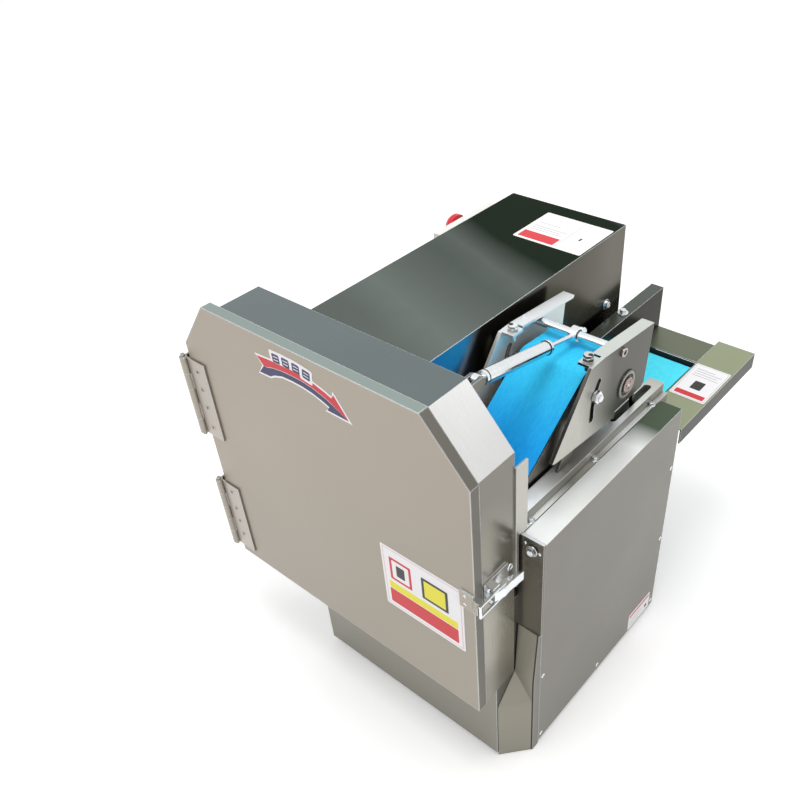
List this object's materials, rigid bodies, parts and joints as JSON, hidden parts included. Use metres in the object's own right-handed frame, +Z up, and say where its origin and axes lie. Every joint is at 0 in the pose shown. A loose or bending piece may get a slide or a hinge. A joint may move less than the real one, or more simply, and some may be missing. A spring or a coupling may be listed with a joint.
{
  "type": "vegetable cutter",
  "caption": "Tabletop stainless leaf vegetable cutter: a feed belt and a swinging press belt carry produce to a knife rotor behind a hinged door.",
  "frame": {"origin": "centre of the whole machine's box in X and Y, on the plane of the feet's soles", "axes": "+Z up, -Y towards the blade door, +Y towards the infeed table, +X towards the side cover"},
  "size_m": [0.5254, 0.686, 0.627],
  "materials": {
    "brushed_stainless": "brushed sheet",
    "polished_stainless": "satin, brighter than the sheet",
    "bright_steel": "polished",
    "turned_steel": "machined",
    "blue_belt": "embossed belt",
    "black_rubber": "matt",
    "painted_casting": "machine enamel",
    "red_plastic": "moulded",
    "green_plastic": "moulded",
    "black_plastic": "moulded",
    "panel_paint": "satin paint"
  },
  "bodies": {
    "frame": {"base_frame": "brushed_stainless", "foot_front_left": "black_rubber", "foot_rear_left": "black_rubber", "foot_front_right": "black_rubber", "foot_rear_right": "black_rubber", "motor_box": "brushed_stainless", "blade_housing": "brushed_stainless", "feed_mouth": "brushed_stainless", "left_guide": "brushed_stainless", "right_rail": "polished_stainless", "belt_bed": "turned_steel", "tail_plate": "brushed_stainless", "feed_table": "brushed_stainless", "side_cover": "brushed_stainless", "front_plate": "brushed_stainless", "feed_gearmotor": "painted_casting", "feed_chain": "turned_steel", "press_chain": "turned_steel", "main_motor": "painted_casting", "knife_bearing": "painted_casting", "v_belt": "black_rubber", "upper_hinge_bracket": "brushed_stainless", "lower_hinge_bracket": "brushed_stainless", "latch_base": "bright_steel", "control_panel": "panel_paint", "conveyor_belt": "blue_belt", "shaft_boss": "bright_steel", "guide_arm": "turned_steel"},
    "door": {"door": "brushed_stainless", "upper_door_leaf": "brushed_stainless", "lower_door_leaf": "brushed_stainless"},
    "latch_lever": {"latch_lever": "bright_steel"},
    "latch_bail": {"latch_bail": "bright_steel"},
    "rotor": {"knife_shaft": "turned_steel", "knife_holder": "turned_steel", "knife_1": "bright_steel", "knife_2": "bright_steel", "knife_nut": "bright_steel", "knife_pulley": "turned_steel"},
    "motor_pulley": {"motor_pulley": "turned_steel"},
    "drive_roller": {"drive_roller": "turned_steel", "roller_sprocket": "turned_steel"},
    "tail_roller": {"tail_roller": "turned_steel"},
    "output_shaft": {"output_shaft": "turned_steel"},
    "reversing_shaft": {"reversing_shaft": "turned_steel"},
    "press_drum": {"press_drum": "turned_steel"},
    "presser": {"right_press_plate": "polished_stainless", "left_press_plate": "polished_stainless", "cross_rod": "bright_steel", "press_bearing": "bright_steel", "press_frame": "turned_steel", "press_belt": "blue_belt"},
    "top_roller": {"top_roller": "turned_steel"},
    "nose_roller": {"nose_roller": "turned_steel"},
    "strut_cylinder": {"strut_cylinder": "bright_steel"},
    "strut_rod": {"strut_rod": "bright_steel"},
    "emergency_stop": {"emergency_stop": "red_plastic"},
    "start_button": {"start_button": "green_plastic"},
    "stop_button": {"stop_button": "black_plastic"},
    "speed_knob": {"speed_knob": "black_plastic"}
  },
  "joints": [
    {"name": "door_hinge", "type": "hinge", "parent": "frame", "child": "door", "pos_m": [-0.25725, -0.3375, 0.36], "axis": [0, 0, -1], "range_deg": [0, 110]},
    {"name": "latch_lever_pivot", "type": "hinge", "parent": "frame", "child": "latch_lever", "pos_m": [0.23825, -0.3075, 0.38], "axis": [0, 0, -1], "range_deg": [0, 110]},
    {"name": "latch_bail_pivot", "type": "hinge", "parent": "latch_lever", "child": "latch_bail", "pos_m": [0.24225, -0.2935, 0.38], "axis": [0, 0, 1], "range_deg": [0, 110]},
    {"name": "rotor_spin", "type": "hinge", "parent": "frame", "child": "rotor", "pos_m": [-0.00825, -0.2735, 0.403], "axis": [0, 1, 0], "continuous": true},
    {"name": "motor_spin", "type": "hinge", "parent": "frame", "child": "motor_pulley", "pos_m": [-0.00825, -0.1015, 0.118], "axis": [0, 1, 0], "continuous": true},
    {"name": "output_spin", "type": "hinge", "parent": "frame", "child": "output_shaft", "pos_m": [0.22975, 0.0495, 0.284], "axis": [1, 0, 0], "continuous": true},
    {"name": "reversing_spin", "type": "hinge", "parent": "frame", "child": "reversing_shaft", "pos_m": [0.22975, 0.0495, 0.344], "axis": [1, 0, 0], "continuous": true},
    {"name": "drive_roller_spin", "type": "hinge", "parent": "frame", "child": "drive_roller", "pos_m": [0.14555, -0.2215, 0.345], "axis": [1, 0, 0], "continuous": true},
    {"name": "tail_roller_spin", "type": "hinge", "parent": "frame", "child": "tail_roller", "pos_m": [0.14555, 0.2415, 0.345], "axis": [1, 0, 0], "continuous": true},
    {"name": "press_drum_spin", "type": "hinge", "parent": "frame", "child": "press_drum", "pos_m": [0.14555, 0.0025, 0.489], "axis": [1, 0, 0], "continuous": true},
    {"name": "presser_swing", "type": "hinge", "parent": "frame", "child": "presser", "pos_m": [0.14555, 0.0025, 0.489], "axis": [-1, 0, 0], "range_deg": [0, 20]},
    {"name": "top_roller_spin", "type": "hinge", "parent": "presser", "child": "top_roller", "pos_m": [0.14555, -0.0575, 0.513], "axis": [1, 0, 0], "continuous": true},
    {"name": "nose_roller_spin", "type": "hinge", "parent": "presser", "child": "nose_roller", "pos_m": [0.14555, -0.2115, 0.408], "axis": [1, 0, 0], "continuous": true},
    {"name": "strut_tilt", "type": "hinge", "parent": "frame", "child": "strut_cylinder", "pos_m": [0.14555, -0.2165, 0.591], "axis": [1, 0, 0], "range_deg": [0, 2]},
    {"name": "strut_slide", "type": "slide", "parent": "strut_cylinder", "child": "strut_rod", "axis": [0, 0.9778, -0.2095], "range_m": [0, 0.0205]},
    {"name": "emergency_stop_press", "type": "slide", "parent": "frame", "child": "emergency_stop", "axis": [1, 0, 0], "range_m": [0, 0.005]},
    {"name": "start_button_press", "type": "slide", "parent": "frame", "child": "start_button", "axis": [1, 0, 0], "range_m": [0, 0.003], "stiffness_N_per_m": 400, "springref_m": -0.001},
    {"name": "stop_button_press", "type": "slide", "parent": "frame", "child": "stop_button", "axis": [1, 0, 0], "range_m": [0, 0.003], "stiffness_N_per_m": 400, "springref_m": -0.001},
    {"name": "speed_knob_turn", "type": "hinge", "parent": "frame", "child": "speed_knob", "pos_m": [-0.16755, 0.1665, 0.492], "axis": [1, 0, 0], "range_deg": [-135, 135]}
  ],
  "couplings": [
    {"joint": "latch_bail_pivot", "follows": "latch_lever_pivot", "ratio": 1},
    {"joint": "motor_spin", "follows": "rotor_spin", "ratio": 1.984},
    {"joint": "reversing_spin", "follows": "output_spin", "ratio": -1},
    {"joint": "drive_roller_spin", "follows": "output_spin", "ratio": 1},
    {"joint": "tail_roller_spin", "follows": "output_spin", "ratio": 1},
    {"joint": "press_drum_spin", "follows": "output_spin", "ratio": -0.5333},
    {"joint": "top_roller_spin", "follows": "output_spin", "ratio": -1.0667},
    {"joint": "nose_roller_spin", "follows": "output_spin", "ratio": -1.3333},
    {"joint": "strut_tilt", "follows": "presser_swing", "ratio": 0.0792},
    {"joint": "strut_slide", "follows": "presser_swing", "m_per_rad": 0.0578}
  ]
}
